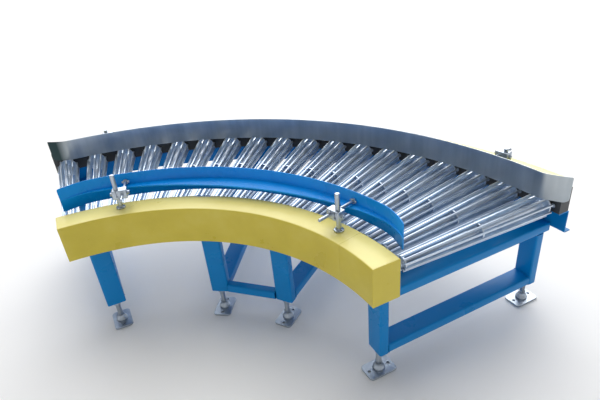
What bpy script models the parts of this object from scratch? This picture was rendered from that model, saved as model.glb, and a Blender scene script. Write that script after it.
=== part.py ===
"""Gravity roller conveyor: a ninety-degree curve with tapered cage rollers.

Metres, +Z up, floor at Z = 0. The curve is symmetric about the plane X = 0 and its
hollow side faces -Y. The origin is the centre of the footprint. Angles are in degrees
about the centre of curvature, from 45 at the right-hand end to 135 at the left.
"""

import math

import bmesh
import bpy
from mathutils import Matrix, Vector

# The curve
CURVE_START = 45.0
CURVE_END = 135.0
GAP = 0.0003
CUT_OVER = 0.010

# Guards: the painted covers along both sides
GUARD_WIDTH = 0.105
INNER_GUARD_RADIUS = 0.850
OUTER_GUARD_RADIUS = 1.685
GUARD_TOP = 0.587
GUARD_HEIGHT = 0.153
GUARD_SHEET = 0.003
GUARD_STEPS = 36
OUTER_GUARD_INSET = 1.5

# Stands: rectangular tube, each a closed portal across the curve
TUBE_WIDTH = 0.080
TUBE_DEPTH = 0.040
TUBE_WALL = 0.003
INNER_LEG_FACE = 0.925
OUTER_LEG_FACE = 1.717
TOP_BEAM_END = 1.741
LEG_BOTTOM = 0.110
STAND_TOP = 0.398
MIDDLE_STAND_ANGLE = 9.5
END_STAND_SETBACK = 0.069

# Side channels and the bearing rails on top of them
CHANNEL_HEIGHT = 0.072
CHANNEL_WIDTH = 0.040
CHANNEL_WALL = 0.005
INNER_CHANNEL_INSET = 4.2
OUTER_WEB_RADIUS = 1.748
OUTER_CHANNEL_BOTTOM = 0.377
OUTER_CHANNEL_TOP = 0.480
OUTER_FLANGE_OUT = 0.030
INNER_BEARING_RADIUS = 0.928
INNER_BEARING_DEPTH = 0.022
OUTER_BEARING_RADIUS = 1.695
OUTER_BEARING_DEPTH = 0.050
OUTER_SIDE_INSET = 0.4
SIDE_STEPS = 18

# Rollers: a conical cage of flat bars between two discs on a central tube
ROLLER_COUNT = 18
ROLLER_PITCH = 5.0
ROLLER_TOP = 0.559
ROLLER_INNER_END = 0.985
ROLLER_OUTER_END = 1.670
ROLLER_OUTER_RADIUS = 0.052
ROLLER_SIDES = 10
DISC_THICKNESS = 0.006
ROLLER_TUBE_RADIUS = 0.014
BAR_DEPTH = 0.015
BAR_THICKNESS = 0.004
BAR_RECESS = 0.0012
SHAFT_RADIUS = 0.010
SHAFT_CLEARANCE = 0.0002
INNER_SHAFT_END = 0.930
OUTER_SHAFT_END = 1.730

# Guide bands above the rollers
BAND_THICKNESS = 0.004
BAND_HEIGHT = 0.102
INNER_BAND_RADIUS = 1.018
INNER_BAND_BOTTOM = 0.583
INNER_BAND_END = 2.0
INNER_FLARE = -0.030
INNER_FLARE_LENGTH = 7.0
OUTER_BAND_RADIUS = 1.606
OUTER_BAND_BOTTOM = 0.568
OUTER_BAND_START = -1.4
OUTER_BAND_END = 0.6
OUTER_FLARE = 0.048
OUTER_FLARE_LENGTH = 3.2
RIB_THICKNESS = 0.006
RIB_WIDTH = 0.066
RIB_LEAST = 0.002

# Posts and cross clamps that carry the bands
INNER_POST_RADIUS = 0.912
INNER_POST_ANGLE = 29.5
OUTER_POST_RADIUS = 1.738
OUTER_POST_ANGLE = 35.0
INNER_POST_HEIGHT = 0.145
OUTER_POST_HEIGHT = 0.058
POST_RADIUS = 0.009
FLANGE_RADIUS = 0.018
FLANGE_THICKNESS = 0.005
BLOCK_HEIGHT = 0.037
BLOCK_DEPTH = 0.034
BLOCK_LENGTH = 0.076
ROD_RADIUS = 0.006
ROD_OFFSET = 0.022
ROD_TAIL = 0.070
ROD_PLATE_RADIUS = 0.012
ROD_PLATE_THICKNESS = 0.004
INNER_ROD_HEIGHT = INNER_BAND_BOTTOM + 0.067
OUTER_ROD_HEIGHT = OUTER_BAND_BOTTOM + 0.045
ROD_STANDOFF = 0.001

# Levelling feet
PAD_LENGTH = 0.120
PAD_WIDTH = 0.080
PAD_THICKNESS = 0.008
PAD_CORNER = 0.015
BOSS_RADIUS = 0.024
BOSS_TOP_RADIUS = 0.015
BOSS_HEIGHT = 0.030
SCREW_RADIUS = 0.011
SCREW_TOP = 0.205
SCREW_CLEARANCE = 0.0004

ROUND_SIDES = 12

# The centre of curvature, which puts the footprint's centre on the origin
CENTRE = Vector(
    (
        0.0,
        -(
            INNER_GUARD_RADIUS * math.sin(math.radians(CURVE_START))
            + OUTER_GUARD_RADIUS
            + GUARD_WIDTH
        )
        / 2,
        0.0,
    )
)


def clear_scene():
    for obj in list(bpy.data.objects):
        bpy.data.objects.remove(obj, do_unlink=True)


def make_material(name, colour, roughness, metallic):
    material = bpy.data.materials.new(name)
    material.use_nodes = True
    shader = material.node_tree.nodes["Principled BSDF"]
    shader.inputs["Base Color"].default_value = (*colour, 1.0)
    shader.inputs["Roughness"].default_value = roughness
    shader.inputs["Metallic"].default_value = metallic
    return material


def place(name, mesh, material, matrix=None):
    """One named object holding the mesh, placed by its matrix."""
    obj = bpy.data.objects.new(name, mesh)
    bpy.context.scene.collection.objects.link(obj)
    if not mesh.materials:
        mesh.materials.append(material)
    if matrix is not None:
        obj.matrix_world = matrix
    return obj


def mesh_of(name, points, faces, smooth=False):
    """A closed mesh with its faces turned outwards."""
    mesh = bpy.data.meshes.new(name)
    body = bmesh.new()
    verts = [body.verts.new(point) for point in points]
    for face in faces:
        body.faces.new([verts[index] for index in face])
    bmesh.ops.recalc_face_normals(body, faces=body.faces[:])
    body.to_mesh(mesh)
    body.free()
    if smooth:
        shade_round(mesh)
    return mesh


def shade_round(mesh):
    mesh.shade_smooth()
    mesh.set_sharp_from_angle(angle=math.radians(40))


def loft(name, rings, smooth=False):
    """A solid through rings of equal point counts, closed by a face at each end."""
    count = len(rings[0])
    points = [point for ring in rings for point in ring]
    faces = []
    for row in range(len(rings) - 1):
        low = row * count
        for side in range(count):
            after = (side + 1) % count
            faces.append((low + side, low + after, low + count + after, low + count + side))
    faces.append(tuple(range(count)))
    faces.append(tuple(range(len(points) - count, len(points))))
    return mesh_of(name, points, faces, smooth)


def combine(name, base, other, operation):
    """The Boolean of two meshes, as a new mesh."""
    first = bare(name + "_base", base)
    second = bare(name + "_tool", other)
    modifier = first.modifiers.new("boolean", "BOOLEAN")
    modifier.operation = operation
    modifier.object = second
    modifier.solver = "EXACT"
    bpy.context.view_layer.update()
    graph = bpy.context.evaluated_depsgraph_get()
    result = bpy.data.meshes.new_from_object(first.evaluated_get(graph))
    result.name = name
    for helper in (first, second):
        bpy.data.objects.remove(helper, do_unlink=True)
    return result


def bare(name, mesh):
    obj = bpy.data.objects.new(name, mesh)
    bpy.context.scene.collection.objects.link(obj)
    return obj


def join_meshes(name, meshes):
    """Separate closed shells in one mesh, for use as a cutter."""
    body = bmesh.new()
    for mesh in meshes:
        body.from_mesh(mesh)
    joined = bpy.data.meshes.new(name)
    body.to_mesh(joined)
    body.free()
    return joined


def on_curve(radius, angle, height):
    """A point at a radius and an angle in degrees about the centre of curvature."""
    turn = math.radians(angle)
    return CENTRE + Vector((radius * math.cos(turn), radius * math.sin(turn), height))


def curve_frame(angle):
    """Axes at an angle: X outwards along the radius, Y along the curve, Z up."""
    return Matrix.Translation(CENTRE) @ Matrix.Rotation(math.radians(angle), 4, "Z")


def inside_ends():
    """The first and last angle of a rail that lies between the inner guard's end plates."""
    inset = math.degrees((GUARD_SHEET + 2 * GAP) / INNER_GUARD_RADIUS)
    return CURVE_START + inset, CURVE_END - inset


def outer_side_ends():
    return CURVE_START + OUTER_SIDE_INSET, CURVE_END - OUTER_SIDE_INSET


def angle_steps(start, end, count):
    return [start + (end - start) * step / count for step in range(count + 1)]


def sweep(name, section, angles):
    """A section of (radius, height) points carried round the curve.

    The section is a list, or a function of the angle that returns one.
    """
    rings = []
    for angle in angles:
        outline = section(angle) if callable(section) else section
        rings.append([on_curve(radius, angle, height) for radius, height in outline])
    return loft(name, rings, smooth=True)


def rectangle(low_x, high_x, low_y, high_y):
    return [(low_x, low_y), (high_x, low_y), (high_x, high_y), (low_x, high_y)]


def circle(radius, sides, phase=0.0):
    turns = [phase + 2 * math.pi * side / sides for side in range(sides)]
    return [(radius * math.cos(turn), radius * math.sin(turn)) for turn in turns]


def turned(name, profile, sides):
    """A solid turned about X from (position, radius) points."""
    rings = []
    for position, radius in profile:
        rings.append([(position, y, z) for y, z in circle(radius, sides, math.pi / sides)])
    return loft(name, rings, smooth=True)


def upright(name, profile, sides=ROUND_SIDES):
    """A solid turned about Z from (radius, height) points."""
    rings = []
    for radius, height in profile:
        rings.append([(x, y, height) for x, y in circle(radius, sides, math.pi / sides)])
    return loft(name, rings, smooth=True)


def box(name, low, high):
    outline = rectangle(low[0], high[0], low[1], high[1])
    return loft(name, [[(x, y, z) for x, y in outline] for z in (low[2], high[2])])


def hollow_tube(name, outer, inner, ends):
    """A tube open at both ends. Its outlines hold (a, b) points, and ends are two
    functions that turn (a, b) into a point at either end."""
    count = len(outer)
    points = [end(*corner) for end in ends for outline in (outer, inner) for corner in outline]
    faces = []
    for side in range(count):
        after = (side + 1) % count
        far = 2 * count
        faces.append((side, after, far + after, far + side))
        faces.append((count + side, count + after, far + count + after, far + count + side))
        faces.append((side, after, count + after, count + side))
        faces.append((far + side, far + after, far + count + after, far + count + side))
    return mesh_of(name, points, faces)


# Guards

def guard(name, radius, open_side, inset):
    """The mesh of a folded cover, open underneath and towards the rollers."""
    low_height = GUARD_TOP - GUARD_HEIGHT
    outer = rectangle(radius, radius + GUARD_WIDTH, low_height, GUARD_TOP)
    start = CURVE_START + inset
    end = CURVE_END - inset
    body = sweep(name, outer, angle_steps(start, end, GUARD_STEPS))
    low = radius + GUARD_SHEET
    high = radius + GUARD_WIDTH - GUARD_SHEET
    if open_side > 0:
        high = radius + GUARD_WIDTH + CUT_OVER
    else:
        low = radius - CUT_OVER
    inside = rectangle(low, high, low_height - CUT_OVER, GUARD_TOP - GUARD_SHEET)
    end_turn = math.degrees(GUARD_SHEET / radius)
    hollow = sweep(name + "_hollow", inside, angle_steps(start + end_turn, end - end_turn, GUARD_STEPS))
    return combine(name, body, hollow, "DIFFERENCE")


def outer_guard(material):
    """The outer cover, whose end plates are cut away where the side rail runs on."""
    name = "outer_guard"
    whole = guard(name, OUTER_GUARD_RADIUS, -1, OUTER_GUARD_INSET)
    way = rectangle(
        OUTER_GUARD_RADIUS - CUT_OVER,
        OUTER_WEB_RADIUS + CHANNEL_WALL + GAP,
        GUARD_TOP - GUARD_HEIGHT - CUT_OVER,
        GUARD_TOP - GUARD_SHEET,
    )
    way_out = sweep("way_out", way, angle_steps(CURVE_START, CURVE_END, GUARD_STEPS + 1))
    return place(name, combine(name, whole, way_out, "DIFFERENCE"), material)


# Side channels and bearing rails

def inner_channel(material):
    """A C-section rail whose open side faces the rollers. It ends on the end stands."""
    low = STAND_TOP + GAP
    high = low + CHANNEL_HEIGHT
    wall = CHANNEL_WALL
    near = INNER_LEG_FACE
    far = near + CHANNEL_WIDTH
    section = [
        (near, low),
        (far, low),
        (far, low + wall),
        (near + wall, low + wall),
        (near + wall, high - wall),
        (far, high - wall),
        (far, high),
        (near, high),
    ]
    start = CURVE_START + INNER_CHANNEL_INSET
    end = CURVE_END - INNER_CHANNEL_INSET
    mesh = sweep("inner_channel", section, angle_steps(start, end, SIDE_STEPS))
    return place("inner_channel", mesh, material)


def outer_channel(material):
    """A Z-section rail across the beams' ends, with its top flange towards the rollers."""
    low = OUTER_CHANNEL_BOTTOM
    high = OUTER_CHANNEL_TOP
    wall = CHANNEL_WALL
    web = OUTER_WEB_RADIUS
    far = web + wall + OUTER_FLANGE_OUT
    section = [
        (web, low),
        (far, low),
        (far, low + wall),
        (web + wall, low + wall),
        (web + wall, high),
        (OUTER_BEARING_RADIUS, high),
        (OUTER_BEARING_RADIUS, high - wall),
        (web, high - wall),
    ]
    mesh = sweep("outer_channel", section, angle_steps(*outer_side_ends(), SIDE_STEPS))
    return place("outer_channel", mesh, material)


def bearing_rail(name, radius, depth, low, ends, material):
    """The strip that holds the roller shafts, bored square to each of them."""
    high = GUARD_TOP - GUARD_SHEET - GAP
    section = rectangle(radius, radius + depth, low, high)
    body = sweep(name, section, angle_steps(*ends, SIDE_STEPS))
    bore = (SHAFT_RADIUS + SHAFT_CLEARANCE) / math.cos(math.pi / ROLLER_SIDES)
    middle = radius + depth / 2 - ROLLER_MIDDLE
    bores = []
    for number in range(ROLLER_COUNT):
        tool = turned("bore", [(middle - depth, bore), (middle + depth, bore)], ROLLER_SIDES)
        tool.transform(roller_matrix(number))
        bores.append(tool)
    return place(name, combine(name, body, join_meshes("bores", bores), "DIFFERENCE"), material)


def bearing_rails(material):
    low = STAND_TOP + CHANNEL_HEIGHT + 2 * GAP
    ends = inside_ends()
    bearing_rail("inner_bearing_rail", INNER_BEARING_RADIUS, INNER_BEARING_DEPTH, low, ends, material)
    low = OUTER_CHANNEL_TOP + GAP
    ends = outer_side_ends()
    bearing_rail("outer_bearing_rail", OUTER_BEARING_RADIUS, OUTER_BEARING_DEPTH, low, ends, material)


# Rollers

ROLLER_MIDDLE = (ROLLER_INNER_END + ROLLER_OUTER_END) / 2
ROLLER_INNER_RADIUS = ROLLER_OUTER_RADIUS * ROLLER_INNER_END / ROLLER_OUTER_END
ROLLER_TILT = math.atan(
    (ROLLER_OUTER_RADIUS - ROLLER_INNER_RADIUS) / (ROLLER_OUTER_END - ROLLER_INNER_END)
)


def roller_radius(position):
    """The cage's radius at a position along its axis from its middle."""
    share = (position + ROLLER_MIDDLE - ROLLER_INNER_END) / (ROLLER_OUTER_END - ROLLER_INNER_END)
    return ROLLER_INNER_RADIUS + (ROLLER_OUTER_RADIUS - ROLLER_INNER_RADIUS) * share


def roller_matrix(number):
    """Local X runs outwards along the roller's axis, which dips so its top is level."""
    angle = CURVE_START + ROLLER_PITCH * (number + 0.5)
    height = ROLLER_TOP - roller_radius(0.0)
    middle = Matrix.Translation((ROLLER_MIDDLE, 0.0, height))
    return curve_frame(angle) @ middle @ Matrix.Rotation(ROLLER_TILT, 4, "Y")


def roller_mesh():
    start = ROLLER_INNER_END - ROLLER_MIDDLE
    end = ROLLER_OUTER_END - ROLLER_MIDDLE
    inner_disc = start + DISC_THICKNESS
    outer_disc = end - DISC_THICKNESS
    profile = [
        (INNER_SHAFT_END - ROLLER_MIDDLE, SHAFT_RADIUS),
        (start, SHAFT_RADIUS),
        (start, roller_radius(start)),
        (inner_disc, roller_radius(inner_disc)),
        (inner_disc, ROLLER_TUBE_RADIUS),
        (outer_disc, ROLLER_TUBE_RADIUS),
        (outer_disc, roller_radius(outer_disc)),
        (end, roller_radius(end)),
        (end, SHAFT_RADIUS),
        (OUTER_SHAFT_END - ROLLER_MIDDLE, SHAFT_RADIUS),
    ]
    spool = turned("spool", profile, ROLLER_SIDES)
    bars = []
    reach = (start + DISC_THICKNESS / 2, end - DISC_THICKNESS / 2)
    for bar in range(ROLLER_SIDES):
        rings = []
        for position in reach:
            top = roller_radius(position) * math.cos(math.pi / ROLLER_SIDES) - BAR_RECESS
            half = BAR_THICKNESS / 2
            outline = rectangle(-half, half, top - BAR_DEPTH, top)
            rings.append([(position, y, z) for y, z in outline])
        mesh = loft("bar", rings)
        mesh.transform(Matrix.Rotation(2 * math.pi * bar / ROLLER_SIDES, 4, "X"))
        bars.append(mesh)
    cage = combine("roller", spool, join_meshes("bars", bars), "UNION")
    shade_round(cage)
    return cage


def rollers(material):
    mesh = roller_mesh()
    for number in range(ROLLER_COUNT):
        place(f"roller_{number + 1:02d}", mesh, material, roller_matrix(number))


# Guide bands

INNER_BAND_REACH = (CURVE_START + INNER_BAND_END, CURVE_END - INNER_BAND_END)
OUTER_BAND_REACH = (CURVE_START + OUTER_BAND_START, CURVE_END - OUTER_BAND_END)


def flare_shift(angle, reach, length, shift):
    """How far a band leans out of its arc near its two ends."""
    inset = min(angle - reach[0], reach[1] - angle)
    return shift * max(0.0, 1.0 - inset / length) ** 1.5


def band_angles(reach, length):
    """Closer steps along the two flares than between them."""
    start, finish = reach
    right = angle_steps(start, start + length, 5)[:-1]
    middle = angle_steps(start + length, finish - length, 26)
    left = angle_steps(finish - length, finish, 5)[1:]
    return right + middle + left


def inner_band(material):
    """The band on the hollow side, stiffened by a crescent rib along its back."""
    low = INNER_BAND_BOTTOM
    high = low + BAND_HEIGHT
    rib_low = (low + high - RIB_THICKNESS) / 2
    rib_high = rib_low + RIB_THICKNESS

    def section(angle):
        lean = flare_shift(angle, INNER_BAND_REACH, INNER_FLARE_LENGTH, INNER_FLARE)
        back = INNER_BAND_RADIUS + lean
        front = back + BAND_THICKNESS
        share = (angle - CURVE_START - INNER_BAND_END) / (90.0 - 2 * INNER_BAND_END)
        edge = back - RIB_LEAST - RIB_WIDTH * math.sin(math.pi * share) ** 1.3
        return [
            (back, low),
            (front, low),
            (front, high),
            (back, high),
            (back, rib_high),
            (edge, rib_high),
            (edge, rib_low),
            (back, rib_low),
        ]

    mesh = sweep("inner_band", section, band_angles(INNER_BAND_REACH, INNER_FLARE_LENGTH))
    return place("inner_guide_band", mesh, material)


def outer_band(material):
    low = OUTER_BAND_BOTTOM

    def section(angle):
        lean = flare_shift(angle, OUTER_BAND_REACH, OUTER_FLARE_LENGTH, OUTER_FLARE)
        front = OUTER_BAND_RADIUS + lean
        return rectangle(front, front + BAND_THICKNESS, low, low + BAND_HEIGHT)

    mesh = sweep("outer_band", section, band_angles(OUTER_BAND_REACH, OUTER_FLARE_LENGTH))
    return place("outer_guide_band", mesh, material)


# Posts and clamps

def post(name, radius, angle, height, material):
    base = GUARD_TOP + GAP
    profile = [
        (FLANGE_RADIUS, base),
        (FLANGE_RADIUS, base + FLANGE_THICKNESS),
        (POST_RADIUS, base + FLANGE_THICKNESS),
        (POST_RADIUS, GUARD_TOP + height),
    ]
    matrix = curve_frame(angle) @ Matrix.Translation((radius, 0.0, 0.0))
    return place(name, upright(name, profile), material, matrix)


def clamp(name, radius, angle, band_face, rod_height, side, material):
    """A block bored for its post, with the rod that it holds out to the band.

    In its own frame the post is at the origin, X points from the post to the band
    and the rod passes beside it at Y = ROD_OFFSET times side.
    """
    half_height = BLOCK_HEIGHT / 2
    shift = side * ROD_OFFSET / 2
    block = box(
        name,
        (-BLOCK_DEPTH / 2, shift - BLOCK_LENGTH / 2, -half_height),
        (BLOCK_DEPTH / 2, shift + BLOCK_LENGTH / 2, half_height),
    )
    bore_radius = (POST_RADIUS + GAP) / math.cos(math.pi / ROUND_SIDES)
    bore = upright("bore", [(bore_radius, -BLOCK_HEIGHT), (bore_radius, BLOCK_HEIGHT)])
    block = combine(name, block, bore, "DIFFERENCE")
    reach = abs(band_face - radius) - ROD_STANDOFF
    rod = turned(
        "rod",
        [
            (-ROD_TAIL, ROD_RADIUS),
            (reach - ROD_PLATE_THICKNESS, ROD_RADIUS),
            (reach - ROD_PLATE_THICKNESS, ROD_PLATE_RADIUS),
            (reach, ROD_PLATE_RADIUS),
        ],
        8,
    )
    rod.transform(Matrix.Translation((0.0, side * ROD_OFFSET, 0.0)))
    body = combine(name, block, rod, "UNION")
    shade_round(body)
    facing = 0.0 if band_face > radius else math.pi
    matrix = (
        curve_frame(angle)
        @ Matrix.Translation((radius, 0.0, rod_height))
        @ Matrix.Rotation(facing, 4, "Z")
    )
    return place(name, body, material, matrix)


def band_supports(steel):
    inner_face = flat_reach(INNER_BAND_RADIUS, -1)
    outer_face = flat_reach(OUTER_BAND_RADIUS + BAND_THICKNESS, 1)
    for label, side in (("right", -1), ("left", 1)):
        angle = 90.0 + side * INNER_POST_ANGLE
        radius = INNER_POST_RADIUS
        post(f"inner_post_{label}", radius, angle, INNER_POST_HEIGHT, steel)
        clamp(f"inner_clamp_{label}", radius, angle, inner_face, INNER_ROD_HEIGHT, -side, steel)
        angle = 90.0 + side * OUTER_POST_ANGLE
        radius = OUTER_POST_RADIUS
        post(f"outer_post_{label}", radius, angle, OUTER_POST_HEIGHT, steel)
        clamp(f"outer_clamp_{label}", radius, angle, outer_face, OUTER_ROD_HEIGHT, side, steel)


def flat_reach(radius, side):
    """Where a flat rod end stops short of a curved band, at the rod's sideways offset."""
    sag = radius - math.sqrt(radius**2 - (ROD_OFFSET + ROD_PLATE_RADIUS) ** 2)
    return radius - sag if side < 0 else radius


# Stands

def stand_frames():
    """Each stand's letter, with axes X outwards and Y across the tubes' width."""
    end_shift = END_STAND_SETBACK + TUBE_WIDTH / 2
    return [
        ("a", curve_frame(CURVE_START) @ Matrix.Translation((0.0, end_shift, 0.0))),
        ("b", curve_frame(90.0 - MIDDLE_STAND_ANGLE)),
        ("c", curve_frame(90.0 + MIDDLE_STAND_ANGLE)),
        ("d", curve_frame(CURVE_END) @ Matrix.Translation((0.0, -end_shift, 0.0))),
    ]


def leg_mesh(name, low, high, top):
    """A tube closed at the bottom by a plate that is bored for the levelling screw."""
    half = TUBE_WIDTH / 2
    body = box(name, (low, -half, LEG_BOTTOM), (high, half, top))
    wall = TUBE_WALL
    hollow = box(
        "hollow",
        (low + wall, wall - half, LEG_BOTTOM + 2 * wall),
        (high - wall, half - wall, top + wall),
    )
    body = combine(name, body, hollow, "DIFFERENCE")
    radius = (SCREW_RADIUS + SCREW_CLEARANCE) / math.cos(math.pi / ROUND_SIDES)
    bore = upright("bore", [(radius, LEG_BOTTOM - wall), (radius, LEG_BOTTOM + 3 * wall)])
    bore.transform(Matrix.Translation(((low + high) / 2, 0.0, 0.0)))
    return combine(name, body, bore, "DIFFERENCE")


def beam_mesh(name, low_height, end):
    """A level tube that starts at the inner leg, open at both ends."""
    half = TUBE_WIDTH / 2
    wall = TUBE_WALL
    outer = rectangle(-half, half, low_height, low_height + TUBE_DEPTH)
    inner = rectangle(
        wall - half, half - wall, low_height + wall, low_height + TUBE_DEPTH - wall
    )
    start = INNER_LEG_FACE + TUBE_DEPTH + GAP
    ends = (lambda y, z: (start, y, z), lambda y, z: (end, y, z))
    return hollow_tube(name, outer, inner, ends)


def foot_mesh():
    """A levelling foot: an oblong pad, a round boss and a screw, with its axis on Z."""
    pad = []
    corners = ((1, -1, 270), (1, 1, 0), (-1, 1, 90), (-1, -1, 180))
    for side_x, side_y, start in corners:
        for turn in (start, start + 45, start + 90):
            x = side_x * (PAD_LENGTH / 2 - PAD_CORNER)
            y = side_y * (PAD_WIDTH / 2 - PAD_CORNER)
            x += PAD_CORNER * math.cos(math.radians(turn))
            y += PAD_CORNER * math.sin(math.radians(turn))
            pad.append((x, y))
    pad_mesh = loft("pad", [[(x, y, z) for x, y in pad] for z in (0.0, PAD_THICKNESS)])
    sunk = PAD_THICKNESS / 2
    profile = [
        (BOSS_RADIUS, sunk),
        (BOSS_RADIUS, PAD_THICKNESS + BOSS_HEIGHT / 3),
        (BOSS_TOP_RADIUS, PAD_THICKNESS + BOSS_HEIGHT),
        (SCREW_RADIUS, PAD_THICKNESS + BOSS_HEIGHT),
        (SCREW_RADIUS, SCREW_TOP),
    ]
    mesh = combine("foot", pad_mesh, upright("screw", profile), "UNION")
    shade_round(mesh)
    return mesh


def stands(paint, steel):
    outer_low = OUTER_LEG_FACE - TUBE_DEPTH
    under_beam = STAND_TOP - TUBE_DEPTH - GAP
    inner_leg = leg_mesh("inner_leg", INNER_LEG_FACE, INNER_LEG_FACE + TUBE_DEPTH, STAND_TOP)
    outer_leg = leg_mesh("outer_leg", outer_low, OUTER_LEG_FACE, under_beam)
    top_beam = beam_mesh("top_beam", STAND_TOP - TUBE_DEPTH, TOP_BEAM_END)
    bottom_beam = beam_mesh("bottom_beam", LEG_BOTTOM, outer_low - GAP)
    foot = foot_mesh()
    for letter, frame in stand_frames():
        place(f"stand_{letter}_inner_leg", inner_leg, paint, frame)
        place(f"stand_{letter}_outer_leg", outer_leg, paint, frame)
        place(f"stand_{letter}_top_beam", top_beam, paint, frame)
        place(f"stand_{letter}_bottom_beam", bottom_beam, paint, frame)
        for side, low in (("inner", INNER_LEG_FACE), ("outer", outer_low)):
            matrix = frame @ Matrix.Translation((low + TUBE_DEPTH / 2, 0.0, 0.0))
            place(f"foot_{letter}_{side}", foot, steel, matrix)


def tie_beam(paint):
    """The low tube between the two middle stands' inner legs, its ends cut to fit."""
    turn = math.radians(MIDDLE_STAND_ANGLE)
    half = TUBE_WIDTH / 2 + GAP
    depth = TUBE_DEPTH
    middle = (INNER_LEG_FACE + depth / 2) * math.cos(turn)

    def reach(y):
        """X on the plane of the right-hand leg's near side, at a distance Y outwards."""
        return (y * math.sin(turn) - half) / math.cos(turn)

    outer = rectangle(middle - depth / 2, middle + depth / 2, LEG_BOTTOM, LEG_BOTTOM + depth)
    wall = TUBE_WALL
    inner = rectangle(
        middle - depth / 2 + wall,
        middle + depth / 2 - wall,
        LEG_BOTTOM + wall,
        LEG_BOTTOM + depth - wall,
    )
    ends = (
        lambda y, z: (-reach(y), CENTRE.y + y, z),
        lambda y, z: (reach(y), CENTRE.y + y, z),
    )
    return place("tie_beam", hollow_tube("tie_beam", outer, inner, ends), paint)


def build():
    clear_scene()
    blue = make_material("blue_paint", (0.0, 0.16, 0.50), 0.45, 0.0)
    yellow = make_material("yellow_paint", (0.80, 0.68, 0.18), 0.40, 0.0)
    galvanised = make_material("galvanised_steel", (0.55, 0.62, 0.70), 0.28, 1.0)
    satin = make_material("satin_steel", (0.30, 0.33, 0.36), 0.38, 1.0)
    plated = make_material("plated_steel", (0.55, 0.56, 0.58), 0.32, 1.0)
    black = make_material("black_plastic", (0.015, 0.018, 0.020), 0.55, 0.0)

    stands(blue, plated)
    tie_beam(blue)
    inner_channel(blue)
    outer_channel(blue)
    bearing_rails(black)
    rollers(galvanised)
    place("inner_guard", guard("inner_guard", INNER_GUARD_RADIUS, 1, 0.0), yellow)
    outer_guard(yellow)
    inner_band(blue)
    outer_band(satin)
    band_supports(plated)


build()
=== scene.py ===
"""The looks of the gravity roller conveyor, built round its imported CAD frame.

Metres, +Z up. Angles are in degrees about the centre of curvature, from 45 at the
right-hand end to 135 at the left.
"""

import math

import bmesh
import bpy
from mathutils import Matrix, Vector


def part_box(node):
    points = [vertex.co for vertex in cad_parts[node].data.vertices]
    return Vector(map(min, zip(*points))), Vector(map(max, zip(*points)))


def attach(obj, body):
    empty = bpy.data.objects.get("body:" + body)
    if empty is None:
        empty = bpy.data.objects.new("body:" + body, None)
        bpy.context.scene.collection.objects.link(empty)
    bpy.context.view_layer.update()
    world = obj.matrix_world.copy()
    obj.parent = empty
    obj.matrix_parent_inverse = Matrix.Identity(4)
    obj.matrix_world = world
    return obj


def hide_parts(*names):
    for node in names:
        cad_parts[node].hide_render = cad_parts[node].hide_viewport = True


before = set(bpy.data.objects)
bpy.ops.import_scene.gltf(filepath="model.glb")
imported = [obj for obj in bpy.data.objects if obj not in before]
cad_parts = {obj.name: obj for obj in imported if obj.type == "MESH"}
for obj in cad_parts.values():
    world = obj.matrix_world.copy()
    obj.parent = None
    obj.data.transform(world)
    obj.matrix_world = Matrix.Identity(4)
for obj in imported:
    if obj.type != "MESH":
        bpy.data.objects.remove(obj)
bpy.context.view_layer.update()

# Driving dimensions. Sizes and places follow the CAD, apart from the bars, the discs' rims
# and the clamp blocks' ends, and fine detail is this script's own.
CENTRE = Vector((0.0, -(0.850 * math.sin(math.radians(45.0)) + 1.790) / 2, 0.0))
START = 45.0
END = 135.0
GUARD_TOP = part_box("inner_guard")[1].z
GUARD_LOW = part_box("inner_guard")[0].z
GUARD_WIDTH = 0.105
INNER_GUARD = 0.850
OUTER_GUARD = 1.685
OUTER_GUARD_ENDS = (46.5, 133.5)
SHEET = 0.003
# The angle where the inner guard's two covers meet
SEAM = 56.6
# The clearance that the CAD leaves between touching pieces
GAP = 0.0003
WEB = 1.748
CHANNEL_WALL = 0.005
CHANNEL_HEIGHT = 0.072
CHANNEL_WIDTH = 0.040
FLANGE_OUT = 0.030
INNER_STRIP = (0.928, 0.950)
OUTER_STRIP = (1.695, 1.745)
RAIL_ENDS = (45.4, 134.6)
RAIL_INSET = 4.2
RIM_INSET = math.degrees(0.0036 / INNER_GUARD)
INNER_ENDS = (START + RIM_INSET, END - RIM_INSET)
STAND_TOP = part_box("stand_b_top_beam")[1].z
LEG_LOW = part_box("stand_b_inner_leg")[0].z
TUBE_WIDTH = 0.080
TUBE_DEPTH = 0.040
TUBE_CORNER = 0.0075
TUBE_WALL = 0.003
TUBE_BORE_CORNER = 0.0045
INNER_LEG = 0.925
OUTER_LEG = 1.677
BEAM_END = 1.741
STAND_ANGLE = 9.5
STAND_SHIFT = 0.109
ROLLERS = 18
PITCH = 5.0
ROLLER_TOP = 0.559
ROLLER_NEAR = 0.985
ROLLER_FAR = 1.670
ROLLER_MIDDLE = (ROLLER_NEAR + ROLLER_FAR) / 2
ROLLER_RADIUS = 0.052
SHAFT_NEAR = 0.930
SHAFT_FAR = 1.730
BARS = 10
# Half a bar's thickness: 7.6 mm against the CAD's 4 mm, because thin bars render mottled
BAR_HALF = 0.0038
DISC_THICKNESS = 0.0060
DISC_INSET = 0.0060
BAND_HEIGHT = 0.102
INNER_BAND_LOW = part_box("inner_guide_band")[0].z
OUTER_BAND_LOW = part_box("outer_guide_band")[0].z
INNER_BAND = 1.018
OUTER_BAND = 1.606
BAND_SHEET = 0.004
INNER_REACH = (47.0, 133.0)
OUTER_REACH = (43.6, 134.4)
# Flares as (length in degrees, shift at the end)
INNER_FLARE = (7.0, -0.030)
OUTER_FLARE = (3.2, 0.048)
INNER_BAND_CORNER = 0.006
OUTER_BAND_CORNER = 0.016
# Posts as (radius, degrees from the middle of the curve)
INNER_POST = (0.912, 29.5)
OUTER_POST = (1.738, 35.0)
POST_RADIUS = 0.009
ROD_OFFSET = 0.022
ROD_TAIL = 0.070
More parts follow.
